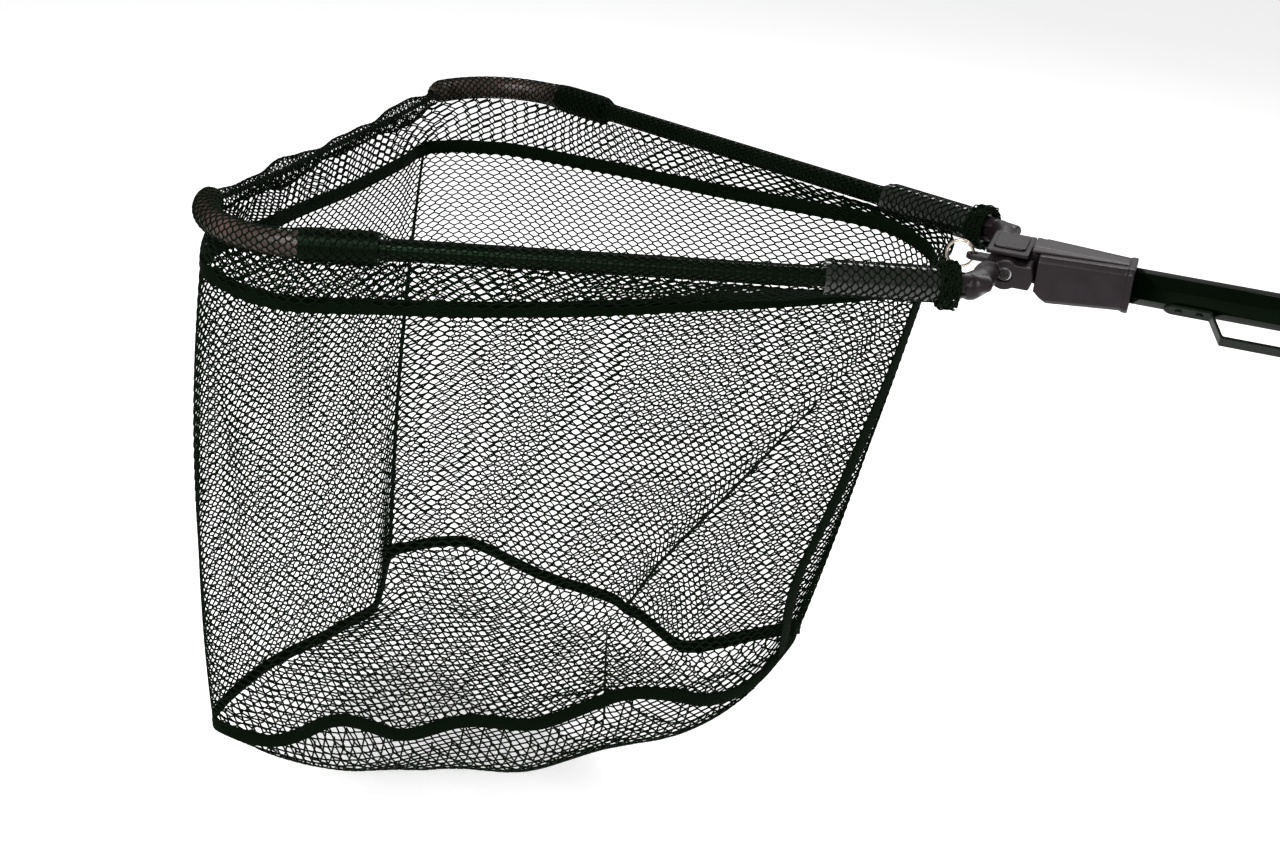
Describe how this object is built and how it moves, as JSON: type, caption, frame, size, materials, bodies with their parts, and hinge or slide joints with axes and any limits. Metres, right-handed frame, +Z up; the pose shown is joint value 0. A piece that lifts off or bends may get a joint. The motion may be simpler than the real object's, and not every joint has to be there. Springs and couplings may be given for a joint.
{
  "type": "landing net",
  "caption": "Folding triangular landing net: deep netting bag on two hinged arms, sliding lock housing, octagonal telescopic handle with belt clip and grip.",
  "frame": {"origin": "middle of the hand grip, on the handle's axis", "axes": "+X along the handle from the net towards the butt, +Y across the net to its far arm, +Z up, out of the net's mouth"},
  "size_m": [1.3583, 0.56, 0.5492],
  "materials": {
    "tube_black": "gloss",
    "arm_alloy": "satin",
    "inner_alloy": "satin",
    "moulded_grey": "matt",
    "cover_grey": "satin",
    "moulded_black": "satin",
    "grip_rubber": "matt",
    "bright_steel": "polished",
    "ring_bronze": "satin",
    "spring_steel": "satin",
    "netting": "open netting",
    "tape_black": "woven",
    "cord_black": "braided"
  },
  "bodies": {
    "grip_body": {"inner_tube": "inner_alloy", "inner_tube_plug": "moulded_black", "grip": "grip_rubber", "butt_cap": "moulded_black"},
    "handle_body": {"outer_tube": "tube_black", "guide_bush": "moulded_black", "tube_collar": "moulded_black", "belt_clip": "tube_black", "clip_rivets": "bright_steel", "hinge_block": "moulded_grey", "top_panel": "cover_grey", "pivot_screws": "bright_steel", "pivot_washers": "spring_steel", "spring_seat": "moulded_black", "lock_spring": "spring_steel"},
    "button_body": {"release_button": "moulded_black"},
    "lock_body": {"lock_housing": "moulded_grey", "lock_top_cover": "cover_grey"},
    "head_body": {"knuckle_near": "moulded_grey", "knuckle_far": "moulded_grey", "arm_rivets": "spring_steel", "bag_near_side": "netting", "bag_near_bend": "netting", "bag_near_corner": "netting", "bag_front": "netting", "bag_far_corner": "netting", "bag_far_bend": "netting", "bag_far_side": "netting", "bag_back": "netting", "bag_floor": "netting", "upper_tape": "tape_black", "floor_tape": "tape_black", "back_seam_tape": "tape_black", "front_cord": "cord_black"},
    "near_arm_body": {"arm_root_near": "moulded_grey", "root_sleeve_near": "moulded_black", "arm_tube_near": "arm_alloy", "tip_ferrule_near": "moulded_black", "tip_elbow_near": "moulded_black", "tip_cap_near": "moulded_black", "hem_near": "netting"},
    "far_arm_body": {"arm_root_far": "moulded_grey", "root_sleeve_far": "moulded_black", "arm_tube_far": "arm_alloy", "tip_ferrule_far": "moulded_black", "tip_elbow_far": "moulded_black", "tip_cap_far": "moulded_black", "hem_far": "netting"},
    "ring_body": {"net_ring": "ring_bronze"}
  },
  "joints": [
    {"name": "handle_extend", "type": "slide", "parent": "grip_body", "child": "handle_body", "axis": [-1, 0, 0], "range_m": [0, 0.36]},
    {"name": "button_press", "type": "slide", "parent": "handle_body", "child": "button_body", "axis": [0, 0, -1], "range_m": [0, 0.0015], "stiffness_N_per_m": 600, "springref_m": -0.001},
    {"name": "lock_slide", "type": "slide", "parent": "handle_body", "child": "lock_body", "axis": [1, 0, 0], "range_m": [0, 0.013], "stiffness_N_per_m": 400, "springref_m": -0.005, "deforming": ["lock_spring"]},
    {"name": "head_fold", "type": "hinge", "parent": "handle_body", "child": "head_body", "pos_m": [-0.665, 0, 0], "axis": [0, 1, 0], "range_deg": [0, 170]},
    {"name": "near_arm_close", "type": "hinge", "parent": "head_body", "child": "near_arm_body", "pos_m": [-0.69244, -0.07793, 0], "axis": [0, 0, -1], "range_deg": [0, 17], "deforming": ["bag_near_side", "bag_near_bend", "bag_near_corner", "bag_front", "bag_far_corner", "bag_far_bend", "bag_far_side", "bag_back", "bag_floor", "upper_tape", "floor_tape", "back_seam_tape", "front_cord"]},
    {"name": "far_arm_close", "type": "hinge", "parent": "head_body", "child": "far_arm_body", "pos_m": [-0.69244, 0.07793, 0], "axis": [0, 0, 1], "range_deg": [0, 17]},
    {"name": "ring_swing", "type": "hinge", "parent": "handle_body", "child": "ring_body", "pos_m": [-0.695, 0, 0.0005], "axis": [0, 1, 0], "range_deg": [-15, 15]}
  ],
  "couplings": [
    {"joint": "far_arm_close", "follows": "near_arm_close", "ratio": 1}
  ]
}
